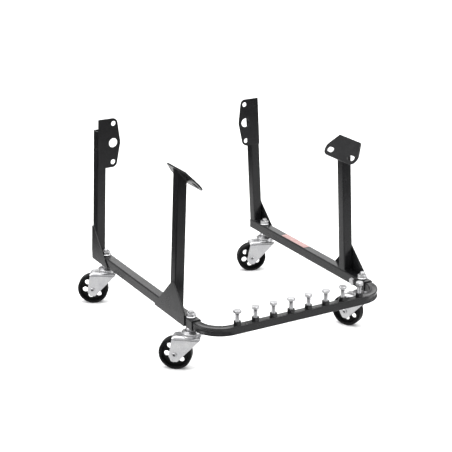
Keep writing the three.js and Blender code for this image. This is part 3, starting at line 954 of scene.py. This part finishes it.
def build_welds(name, side):
    """The beads that join one side frame: uprights to rail, plates to uprights, gussets to both."""
    shells = []
    z = RAIL_TOP + 0.4 * MM
    reach = TUBE / 2 - 0.4 * MM
    for end in ("rear", "front"):
        low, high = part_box(f"{end}_upright_{name}")
        y = low.y + TUBE / 2
        inner = CENTRE_X + side * (RAIL_X - reach)
        outer = CENTRE_X + side * (RAIL_X + reach)
        front = [(outer, y - TUBE / 2, z), (inner, y - TUBE / 2, z)]
        shells += beads(front, WELD_SIZE, 1)
        if end == "front":
            shells += beads([(inner, y + TUBE / 2, z), (outer, y + TUBE / 2, z)], WELD_SIZE, 3)
        # Where the gusset's upper edge lies on the upright's outer face.
        g_low, g_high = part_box(f"{end}_gusset_{name}")
        out = RAIL_X + TUBE / 2 + 0.6 * MM
        if end == "rear":
            tip_y = high.y - TUBE
            tip_z = g_high.z - (g_high.y - GUSSET_TIP - tip_y)
            line = [(tip_y, tip_z), (g_high.y - GUSSET_TIP, g_high.z)]
        else:
            tip_y = g_high.y - (g_high.z - g_low.z)
            line = [(tip_y, g_high.z), (tip_y - GUSSET_TIP, g_high.z)]
        points = [(x_on(side, out, p[1]), p[0], p[1]) for p in line]
        shells += beads(points, GUSSET_BEAD, 5)
        if end == "front":
            # Down the slope from the tip to the nose.
            crest = Vector((x_on(side, out, g_high.z - MM), tip_y - GUSSET_TIP, g_high.z - MM))
            nose_z = RAIL_TOP + GUSSET_NOSE_RISE
            nose = Vector((x_on(side, out, nose_z), g_low.y + MM, nose_z + MM))
            shells.append(bead(crest, nose, SLOPE_BEAD, 6, GUSSET_RIPPLE))
    # Rear plate: a bead down the upright's inner front edge, and one under the plate.
    p_low, p_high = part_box("bell_housing_plate_" + name)
    _, u_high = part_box("rear_upright_" + name)
    inner = RAIL_X - TUBE / 2
    line = [
        (x_on(side, inner, p_low.z), p_high.y + 0.6 * MM, p_low.z),
        (x_on(side, inner, u_high.z), p_high.y + 0.6 * MM, u_high.z - MM),
    ]
    shells += beads(line, REAR_PLATE_BEAD, 8)
    under = [
        (x_on(side, inner + MM, p_low.z), p_high.y - 0.5 * MM, p_low.z),
        (x_on(side, RAIL_X + reach, p_low.z), p_high.y - 0.5 * MM, p_low.z),
    ]
    shells += beads(under, REAR_PLATE_BEAD, 9)
    # Front plate: beads under the plate along the upright's front, inner and rear faces.
    mount = mounts["motor_mount_face_" + name]
    normal = Vector(mount["axis"])
    plane = Vector(mount["pos_m"]) - normal * (FRONT_PLATE["thickness"] + 0.4 * MM)
    f_low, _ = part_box("front_upright_" + name)

    def under_plate(offset, y):
        z = plane.z
        for _ in range(4):
            x = x_on(side, offset, z)
            z = plane.z - normal.x * (x - plane.x) / normal.z
        return Vector((x_on(side, offset, z), y, z))

    corners = [
        under_plate(RAIL_X + reach, f_low.y),
        under_plate(RAIL_X - reach - 0.4 * MM, f_low.y),
        under_plate(RAIL_X - reach - 0.4 * MM, f_low.y + TUBE),
        under_plate(RAIL_X + reach, f_low.y + TUBE),
    ]
    shells += beads(corners, FRONT_PLATE_BEAD, 11)
    welds = new_object("side_frame_welds_" + name, mesh_of("welds", shells))
    finish_piece(welds, BLACK, ROOT, [], 50)


# ---- Crossbar ----


def bend_stations(centre, from_angle):
    """The stations inside one quarter-turn bend of the crossbar."""
    stations = []
    for i in range(1, BEND_STEPS):
        share = i / BEND_STEPS
        angle = from_angle + share * math.pi / 2
        out = Vector((math.cos(angle), math.sin(angle)))
        bend = smooth_step(share / BEND_EASE) * smooth_step((1 - share) / BEND_EASE)
        stations.append((Vector(centre) + out * BAR_BEND_RADIUS, out, bend))
    return stations


def crossbar_path():
    """Stations along the U, end to end: point, outward direction, bend share."""
    front = bar_low.y + BAR / 2
    turn_y = front + BAR_BEND_RADIUS
    straight = RAIL_X - BAR_BEND_RADIUS
    leg = (bar_high.y, bar_high.y - END_CHAMFER, turn_y)
    stations = [(Vector((-RAIL_X, y)), Vector((-1, 0)), 0.0) for y in leg]
    stations += bend_stations((-straight, turn_y), math.pi)
    for i in range(9):
        stations.append((Vector((-straight + 2 * straight * i / 8, front)), Vector((0, -1)), 0.0))
    stations += bend_stations((straight, turn_y), 1.5 * math.pi)
    stations += [(Vector((RAIL_X, y)), Vector((1, 0)), 0.0) for y in reversed(leg)]
    return stations


def bent(point, half, bend):
    """Moves a section's point as the bend draws it: grooved outside, sunk elsewhere."""
    u, v = point
    if bend == 0:
        return u, v
    across = max(0, 1 - (v / (half * 0.72)) ** 2)
    side = max(0, 1 - (u / (half * 0.8)) ** 2)
    if u > 0:
        u -= bend * BEND_GROOVE * across**1.5 * (u / half)
    else:
        u += bend * BEND_SAG * across * (-u / half)
    v -= bend * BEND_PINCH * side**1.2 * (v / half)
    return u, v


def build_crossbar():
    node = "front_crossbar"
    stations = crossbar_path()
    half = BAR / 2
    outer = square_ring(half, BAR_CORNER, 5, 8)
    inner = square_ring(half - BAR_WALL, BAR_CORNER - BAR_WALL + 0.4 * MM, 5, 8)
    eased = square_ring(half - END_CHAMFER, BAR_CORNER - END_CHAMFER, 5, 8)

    def ring(section, station):
        point, out, bend = station
        points = []
        for p in section:
            u, v = bent((p.x, p.y), half, bend)
            plan = point + out * u
            points.append((CENTRE_X + plan.x, plan.y, BAR_Z + v))
        return points

    rings = [ring(eased, stations[0])]
    rings += [ring(outer, station) for station in stations[1:-1]]
    rings.append(ring(eased, stations[-1]))
    rings += [ring(inner, station) for station in reversed(stations)]
    bar = finish_of(node, [loft(rings, around=True)])
    holes = []
    for name, side in SIDES.items():
        x = CENTRE_X + side * RAIL_X
        stem_y = joints[f"front_{name}_swivel"]["pos_m"][1]
        ends = ((x, stem_y, bar_low.z - HOLE_PAST), (x, stem_y, bar_high.z + HOLE_PAST))
        holes.append(cylinder_along(STEM_RADIUS + FIT, *ends))
        _, lock_y, _ = centre_of("crossbar_lock_bolt_" + name)
        wall = x - side * half
        ends = ((wall - side * MM, lock_y, BAR_Z), (wall + side * 3 * MM, lock_y, BAR_Z))
        holes.append(cylinder_along(LOCK_BOLT["radius"] + FIT, *ends))
    for i in range(1, STORED_COUNT + 1):
        x, y, _ = centre_of(f"storage_bolt_{i}")
        ends = ((x, y, BAR_Z), (x, y, bar_high.z + HOLE_PAST))
        holes.append(cylinder_along(STORED_BOLT["radius"] + FIT, *ends))
    cut(bar, holes)
    finish_piece(bar, BLACK, ROOT, [node], 38)


def build_stored_bolt(i):
    bolt_node = f"storage_bolt_{i}"
    nut_node = f"storage_weld_nut_{i}"
    low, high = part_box(bolt_node)
    nut_low, nut_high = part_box(nut_node)
    x, y, _ = centre_of(bolt_node)
    size = STORED_BOLT
    spin = Matrix.Rotation(math.radians(37 * i % 60), 4, "Z")
    place = Matrix.Translation((x, y, 0)) @ spin
    seat = high.z - size["head"]
    head = moved(bolt_head(size["across_flats"], size["head"]), Matrix.Translation((0, 0, seat)))
    plain_below = nut_high.z - 5 * MM
    shank = threaded_shank(size["radius"], size["pitch"], low.z, seat + 0.2 * MM, plain_below)
    bolt = finish_of(bolt_node, [moved(head, place), moved(shank, place)])
    finish_piece(bolt, ZINC, ROOT, [bolt_node])
    nut = hex_nut(size["across_flats"], nut_low.z, nut_high.z, size["radius"] + FIT)
    turn = Matrix.Translation((x, y, 0)) @ Matrix.Rotation(math.radians(23 * i % 14 - 7), 4, "Z")
    shells = [moved(nut, turn)]
    foot = nut_low.z + 0.4 * MM
    reach = size["across_flats"] * 0.44
    for corner in range(3):
        a = math.radians(120 * corner + 35 + 11 * i)
        b = a + math.radians(50)
        start = (x + reach * math.cos(a), y + reach * math.sin(a), foot)
        end = (x + reach * math.cos(b), y + reach * math.sin(b), foot)
        shells.append(bead(start, end, NUT_BEAD, i + corner))
    nut_piece = finish_of(nut_node, shells)
    finish_piece(nut_piece, BLACK, ROOT, [nut_node])


def build_crossbar_stitches():
    """The row of short weld stitches on the crossbar's top, in front of the stored bolts."""
    first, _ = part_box("storage_bolt_1")
    _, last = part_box(f"storage_bolt_{STORED_COUNT}")
    count = int((last.x - first.x) / STITCH_PITCH)
    y = bar_low.y + STITCH_INSET
    z = bar_high.z - 0.3 * MM
    shells = []
    for i in range(count):
        x = first.x + i * STITCH_PITCH
        start = (x, y + 0.7 * MM, z)
        shells.append(bead(start, (x + STITCH_LENGTH, y - 0.7 * MM, z), STITCH_SIZE, i))
    stitches = new_object("crossbar_weld_stitches", mesh_of("stitches", shells))
    finish_piece(stitches, BLACK, ROOT, [], 50)


# ---- Casters ----


def caster_place(name):
    """The matrix from the caster's own frame, with z up from the floor, to the row frame."""
    stem = Vector(joints[name + "_swivel"]["pos_m"])
    wheel = Vector(joints[name + "_wheel_spin"]["pos_m"])
    trail = wheel - stem
    angle = math.atan2(trail.y, trail.x)
    return Matrix.Translation((stem.x, stem.y, 0)) @ Matrix.Rotation(angle, 4, "Z")


def trail_of(name):
    """How far the axle trails the stem, and the axle's height."""
    stem = Vector(joints[name + "_swivel"]["pos_m"])
    wheel = Vector(joints[name + "_wheel_spin"]["pos_m"])
    return (wheel - stem).to_2d().length, wheel.z


def axle_place(name):
    """The matrix from the axle's own frame, with z along it, to the row frame."""
    trail, axle_z = trail_of(name)
    upright = Matrix.Rotation(-math.pi / 2, 4, "X")
    return caster_place(name) @ Matrix.Translation((trail, 0, axle_z)) @ upright


def build_stem(name):
    """The threaded stem, with the domed upper cup and the king pin's head under it."""
    node = name + "_caster_stem"
    _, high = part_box(node)
    seat = RAIL_BOTTOM - FIT
    cup, pin = CUP, KING_PIN
    groove = cup["top"] + 0.9 * MM
    profile = [
        (0, pin["head_bottom"]),
        (pin["head"] - 1.6 * MM, pin["head_bottom"]),
        (pin["head"], pin["head_bottom"] + 1.2 * MM),
        (pin["head"], pin["head_bottom"] + 3 * MM),
        (pin["radius"], pin["head_bottom"] + 3 * MM),
        (pin["radius"], cup["bottom"] + 2 * MM),
        (cup["rim"] - 3.5 * MM, cup["bottom"] + 2 * MM),
        (cup["rim"] - 3.2 * MM, cup["bottom"]),
    ]
    profile += arc((cup["rim"] - 1.5 * MM, cup["bottom"] + 1.5 * MM), 1.5 * MM, -90, 75, 7)
    profile += [
        (cup["rim"] - 2.6 * MM, cup["bottom"] + 3.1 * MM),
        (cup["shoulder"] + 1.2 * MM, cup["top"] - 0.8 * MM),
        (cup["shoulder"], cup["top"] - 0.2 * MM),
        (cup["boss"] - 1.2 * MM, cup["top"] + 0.2 * MM),
        (cup["boss"] - 1.6 * MM, groove),
    ]
    profile += arc((cup["boss"] - 3.4 * MM, (groove + seat) / 2), 3.4 * MM, -58, 58, 9)
    profile += [
        (cup["boss"] - 1.9 * MM, seat),
        (STEM_RADIUS, seat),
        (STEM_RADIUS, RAIL_TOP - 2 * MM),
        (0, RAIL_TOP - 2 * MM),
    ]
    body = turned(profile, 56)
    thread = threaded_end(STEM_RADIUS, STEM_PITCH, RAIL_TOP - 3 * MM, high.z)
    place = caster_place(name)
    stem = finish_of(node, [moved(body, place), moved(thread, place)])
    finish_piece(stem, ZINC, ROOT, [node], 40)


def build_stem_nut(name, spin):
    node = name + "_caster_stem_nut"
    low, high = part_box(node)
    size = STEM_NUT
    bore = STEM_RADIUS + FIT
    rings = [
        ring_at(size["flange"] - 0.5 * MM, low.z),
        ring_at(size["flange"], low.z + 0.5 * MM),
        ring_at(size["flange"], low.z + size["flange_edge"]),
        ring_at(size["across_flats"] * 0.5, low.z + size["flange_top"]),
    ]
    rings += hex_rings(size["across_flats"], low.z + size["flange_top"], high.z, False)
    rings.append(ring_at(bore + 0.9 * MM, high.z))
    rings.append(ring_at(bore, high.z - 0.9 * MM))
    rings.append(ring_at(bore, low.z + 0.5 * MM))
    rings.append(ring_at(bore + 0.5 * MM, low.z))
    place = caster_place(name) @ Matrix.Rotation(math.radians(spin), 4, "Z")
    nut = finish_of(node, [moved(loft(rings, around=True), place)])
    finish_piece(nut, ZINC, ROOT, [node])


def span_at(outline, z):
    """The least and greatest x of an outline at a height."""
    crossings = []
    for a, b in zip(outline, outline[1:] + outline[:1]):
        low, high = min(a[1], b[1]), max(a[1], b[1])
        if low <= z <= high and high > low:
            crossings.append(a[0] + (b[0] - a[0]) * (z - a[1]) / (b[1] - a[1]))
    return min(crossings), max(crossings)


def build_fork(name):
    """The pressed fork: one sheet that runs up a cheek, over the crown and down the other cheek."""
    node = name + "_caster_fork"
    trail, axle_z = trail_of(name)
    crown, cheek = CROWN, CHEEK
    toe_z = axle_z - cheek["toe"]
    outline = rounded(
        [
            (crown["front"], crown["top"] - cheek["lip"], 2 * MM),
            (trail - cheek["toe_front"], toe_z, cheek["corner"]),
            (trail + cheek["toe_back"], toe_z, cheek["corner"]),
            (trail + cheek["back_reach"], axle_z - cheek["back_drop"], cheek["corner"]),
            (cheek["top_back"], crown["top"] + MM, 0),
            (crown["front"], crown["top"] + MM, 0),
        ],
        6,
    )
    half = crown["half_width"]
    splay = (half - cheek["outer_at_axle"]) / (crown["top"] - axle_z)
    bend = CROWN_BEND
    section = []  # (y, z) from the toe up to the crown's middle
    lower = []
    for a in range(0, 91, 15):
        lower.append(toe_z + 0.01 * MM + cheek["corner"] * (1 - math.cos(math.radians(a))))
    straight_top = crown["top"] - bend
    upper = [lower[-1] + (straight_top - lower[-1]) * i / 11 for i in range(1, 12)]
    crease = [straight_top - 1.6 * MM, straight_top - 0.8 * MM]
    for z in lower + upper[:-1] + crease + upper[-1:]:
        pressed_in = CREASE if z == crease[1] else 0
        section.append((half - (crown["top"] - z) * splay - pressed_in, z))
    corner_y = half - bend * splay - bend
    for i in range(1, 8):
        angle = math.radians(90 * i / 7)
        section.append((corner_y + bend * math.cos(angle), straight_top + bend * math.sin(angle)))
    for i in range(1, 5):
        section.append((corner_y * (1 - i / 4), crown["top"]))
    rows = []
    for y, z in section:
        low, high = span_at(outline, min(z, crown["top"]))
        share = max(0, (z - straight_top) / bend)
        high += (crown["back"] - high) * smooth_step(share)
        row = []
        for i in range(CROWN_COLUMNS + 1):
            x = low + (high - low) * smooth_ends(i / CROWN_COLUMNS)
            past = min(1, max(0, (x - (high - CROWN_ROLL)) / CROWN_ROLL))
            droop = CROWN_DROOP * share * (1 - math.sqrt(1 - 0.98 * past**2))
            row.append((x, y, z - droop))
        rows.append(row)
    rows += [[(x, -y, z) for x, y, z in row] for row in rows[-2::-1]]
    sheet = new_object("fork_sheet", mesh_of("fork_sheet", [sheet_grid(rows)]))
    sheet.data.update()
    top_face = max(sheet.data.polygons, key=lambda p: p.center.z)
    thicken = sheet.modifiers.new("sheet", "SOLIDIFY")
    thicken.thickness = SHEET
    thicken.offset = -1 if top_face.normal.z > 0 else 1
    soften = sheet.modifiers.new("edges", "BEVEL")
    soften.width = 0.45 * MM
    soften.segments = 2
    soften.limit_method = "ANGLE"
    soften.angle_limit = math.radians(60)
    bpy.context.view_layer.update()
    settled(sheet)
    bm = bmesh.new()
    bm.from_mesh(sheet.data)
    pressed = raw_shell(bm)
    bm.free()
    bpy.data.objects.remove(sheet)
    race = RACEWAY
    profile = [
        (race["hole"], crown["top"] - 0.8 * MM),
        (race["radius"] + 1.6 * MM, crown["top"] - 0.8 * MM),
        (race["radius"] + 1.2 * MM, crown["top"] + 0.3 * MM),
        (race["radius"], crown["top"] + 1.1 * MM),
        (race["radius"] - 0.4 * MM, race["top"] - 2.2 * MM),
    ]
    profile += arc((race["top_radius"] + 0.4 * MM, race["top"] - 1.8 * MM), 1.8 * MM, 20, 90, 5)
    profile += [(race["hole"] + 3 * MM, race["top"]), (race["hole"], race["top"] - MM)]
    place = caster_place(name)
    fork = finish_of(node, [moved(pressed, place), moved(turned(profile, 56), place)])
    finish_piece(fork, ZINC, name + "_fork", [node], 40)


def wheel_shells(radius):
    """The wheel on its own axis, z: tyre, hub, and a web with six holes."""
    size = WHEEL
    half = size["half_width"]
    rim_inner = radius - size["rim"]
    shoulder = size["shoulder"]
    side_face = half - 0.6 * MM
    tyre = [(rim_inner - 0.5 * MM, 0)]
    tyre += [(rim_inner, -side_face + 2.2 * MM), (rim_inner + 0.9 * MM, -side_face)]
    tyre += [(rim_inner + 2.4 * MM, -half), (radius - shoulder - 0.6 * MM, -half)]
    tyre += arc((radius - shoulder, -half + shoulder), shoulder, -90, -12, 7)
    tyre += [(radius, 0)]
    tyre += arc((radius - shoulder, half - shoulder), shoulder, 12, 90, 7)
    tyre += [(radius - shoulder - 0.6 * MM, half), (rim_inner + 2.4 * MM, half)]
    tyre += [(rim_inner + 0.9 * MM, side_face), (rim_inner, side_face - 2.2 * MM)]
    hub = [
        (size["bore"], -half),
        (size["hub"] - 0.8 * MM, -half),
        (size["hub"], -half + 0.8 * MM),
        (size["hub"] + 0.5 * MM, -size["web"]),
        (size["hub"] + 0.5 * MM, size["web"]),
        (size["hub"], half - 0.8 * MM),
        (size["hub"] - 0.8 * MM, half),
        (size["bore"], half),
    ]
    loops = [circle(0, 0, rim_inner + MM, 72), circle(0, 0, size["hub"] - MM, 40)]
    for i in range(WHEEL_HOLES["count"]):
        angle = 2 * math.pi * i / WHEEL_HOLES["count"]
        x = WHEEL_HOLES["from_centre"] * math.cos(angle)
        y = WHEEL_HOLES["from_centre"] * math.sin(angle)
        loops.append(circle(x, y, WHEEL_HOLES["radius"], 32))
    web = plate_shell(loops, 2 * size["web"], WEB_EDGE)
    return [turned(tyre, 96), turned(hub, 56), web]


def build_wheel(name, phase):
    node = name + "_caster_wheel"
    _, axle_z = trail_of(name)
    place = axle_place(name) @ Matrix.Rotation(math.radians(phase), 4, "Z")
    shells = [moved(shell, place) for shell in wheel_shells(axle_z)]
    wheel = finish_of(node, shells)
    finish_piece(wheel, POLYMER, name + "_wheel", [node], 35)


def build_axle(name):
    """The tubular rivet the wheel turns on: rolled over at each end, with a blind bore in each."""
    node = name + "_caster_axle"
    size = AXLE
    seat, head = size["seat"], size["head"]
    dome = size["head_height"]
    half = [
        (size["radius"], seat),
        (head - 0.5 * MM, seat),
        (head, seat + 0.5 * MM),
        (head - 0.4 * MM, seat + 0.5 * dome),
        (head - 1.5 * MM, seat + 0.85 * dome),
        (head - 2.4 * MM, seat + dome),
        (size["bore"] + 0.4 * MM, seat + 0.8 * dome),
        (size["bore"], seat + 0.4 * dome),
        (size["bore"], seat - 5 * MM),
        (0, seat - 5.5 * MM),
    ]
    profile = [(r, -z) for r, z in reversed(half)] + half
    place = axle_place(name)
    rivet = finish_of(node, [moved(turned(profile, 32), place)])
    finish_piece(rivet, ZINC, name + "_fork", [node], 40)


# ---- Label ----


def build_label():
    node = "rail_label"
    low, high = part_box(node)
    centre = (low + high) / 2
    width, length = high.x - low.x, high.y - low.y
    corners = [(-1, -1), (1, -1), (1, 1), (-1, 1)]
    outline = rounded([(a * width / 2, b * length / 2, LABEL_CORNER) for a, b in corners], 5)
    shell = plate_shell([outline], high.z - low.z, LABEL_EDGE)
    made = moved(shell, Matrix.Translation(centre))
    piece = finish_of(node, [made])
    finish_piece(piece, FILM, ROOT, [node])


# ---- Assembly ----

for side_name, side_sign in SIDES.items():
    build_rail(side_name, side_sign)
    build_rear_upright(side_name, side_sign)
    build_front_upright(side_name, side_sign)
    build_rear_plate(side_name, side_sign)
    build_front_plate(side_name, side_sign)
    build_gusset(side_name, side_sign, "rear")
    build_gusset(side_name, side_sign, "front")
    build_lock_bolt(side_name, side_sign)
    build_welds(side_name, side_sign)

build_crossbar()
build_crossbar_stitches()
for number in range(1, STORED_COUNT + 1):
    build_stored_bolt(number)

for caster_name, (nut_spin, wheel_phase) in CASTERS.items():
    build_stem(caster_name)
    build_stem_nut(caster_name, nut_spin)
    build_fork(caster_name)
    build_wheel(caster_name, wheel_phase)
    build_axle(caster_name)

build_label()

# ---- Camera, light and floor ----

CAMERA = {"azimuth": -29.35, "elevation": 19.39, "roll": -0.28, "distance": 3.3009, "lens": 104.42}
WORLD_TONES = [(0.0, 0.04), (0.02, 0.85), (0.25, 0.85), (0.5, 0.4), (1.0, 0.55)]  # by height
WORLD_STRENGTH = 1.0
CARD_TONES = [(0.02, 0.05), (0.3, 1.0)]  # from the edge inwards
CARD = {"centre": (0.42, 0.0), "radius": 1.25, "height": -2 * MM, "glow": 1.05}
AREA_LIGHTS = [  # name, place, width, height, power
    ("key_left", (-2.6, 0.9, 1.9), 1.8, 1.8, 40),
    ("top", (0.2, 0.4, 3.0), 3, 3, 50),
    ("right", (2.6, -1.6, 1.2), 1.4, 1.6, 32),
    ("back_right", (1.6, 2.9, 1.2), 2.2, 1.4, 10),
]
SUN_ENERGY = 2.6
SUN_WIDTH = 100  # degrees across, for soft shadows
FLOOR_REACH = 40
LOOK_AT = Vector((CENTRE_X - 5.1 * MM, CENTRE_Y, RAIL_BOTTOM + 128.3 * MM))


def build_camera():
    azimuth = math.radians(CAMERA["azimuth"])
    elevation = math.radians(CAMERA["elevation"])
    roll = math.radians(CAMERA["roll"])
    level = math.cos(elevation)
    back = Vector((math.sin(azimuth) * level, -math.cos(azimuth) * level, math.sin(elevation)))
    right = Vector((math.cos(azimuth), math.sin(azimuth), 0))
    up = back.cross(right)
    rolled_right = right * math.cos(roll) + up * math.sin(roll)
    rolled_up = up * math.cos(roll) - right * math.sin(roll)
    data = bpy.data.cameras.new("camera")
    data.sensor_width = 36
    data.lens = CAMERA["lens"]
    data.clip_end = 60
    camera = new_object("camera", data)
    turn = Matrix((rolled_right, rolled_up, back)).transposed().to_4x4()
    camera.matrix_world = Matrix.Translation(LOOK_AT + back * CAMERA["distance"]) @ turn
    bpy.context.scene.camera = camera


def area_light(name, place, width, height, power):
    data = bpy.data.lights.new(name, "AREA")
    data.shape = "RECTANGLE"
    data.size = width
    data.size_y = height
    data.energy = power
    light = new_object(name, data)
    light.location = place
    light.visible_camera = False
    light.rotation_mode = "QUATERNION"
    light.rotation_quaternion = (LOOK_AT - Vector(place)).to_track_quat("-Z", "Y")


def flat_sheet(name, reach_x, reach_y, place):
    """A level sheet of two by two squares."""
    grid = [[(x, y, 0) for x in (-reach_x, 0, reach_x)] for y in (-reach_y, 0, reach_y)]
    shell = moved(sheet_grid(grid), Matrix.Translation(place))
    return new_object(name, mesh_of(name, [shell]))


def radial_card(name, centre, radius, height, glow):
    """A soft round glowing card under the floor, seen only in reflections, where it paints
    reflections onto glossy parts: bright in its middle and dim at its edge.
    """
    card = flat_sheet(name, radius, radius, (*centre, height))
    material = bpy.data.materials.new(name)
    material.use_nodes = True
    material.node_tree.nodes.clear()
    g = Graph(material.node_tree)
    shift = g.add("Mapping")
    shift.inputs["Location"].default_value = (-centre[0] / radius, -centre[1] / radius, 0)
    shift.inputs["Scale"].default_value = (1 / radius, 1 / radius, 0)
    gradient = g.add("TexGradient")
    gradient.gradient_type = "SPHERICAL"
    light = g.add("Emission", Strength=glow)
    g.link(g.add("TexCoord").outputs["Object"], shift.inputs["Vector"])
    g.link(shift.outputs["Vector"], gradient.inputs["Vector"])
    g.link(g.ramp(gradient.outputs["Color"], CARD_TONES), light.inputs["Color"])
    g.link(light.outputs["Emission"], g.add("OutputMaterial").inputs["Surface"])
    card.data.materials.append(material)
    card.visible_camera = False
    card.visible_diffuse = False
    card.visible_shadow = False


def build_world():
    """A room that is dark below the horizon, bright just above it and grey overhead."""
    world = bpy.data.worlds.new("studio")
    world.use_nodes = True
    g = Graph(world.node_tree)
    background = g.tree.nodes["Background"]
    split = g.add("SeparateXYZ")
    g.link(g.add("TexCoord").outputs["Generated"], split.inputs[0])
    g.link(g.ramp(split.outputs["Z"], WORLD_TONES), background.inputs["Color"])
    background.inputs["Strength"].default_value = WORLD_STRENGTH
    bpy.context.scene.world = world


def build_studio():
    floor = flat_sheet("floor", FLOOR_REACH, FLOOR_REACH, (0, 0, 0))
    floor.data.materials.append(pale_floor())
    floor.visible_glossy = False
    radial_card("floor_card", CARD["centre"], CARD["radius"], CARD["height"], CARD["glow"])
    build_world()
    for light in AREA_LIGHTS:
        area_light(*light)
    sun = bpy.data.lights.new("sun", "SUN")
    sun.energy = SUN_ENERGY
    sun.angle = math.radians(SUN_WIDTH)
    new_object("sun", sun)
    view = bpy.context.scene.view_settings
    view.view_transform = "Standard"
    view.look = "None"
    view.exposure = 0.0


build_camera()
build_studio()
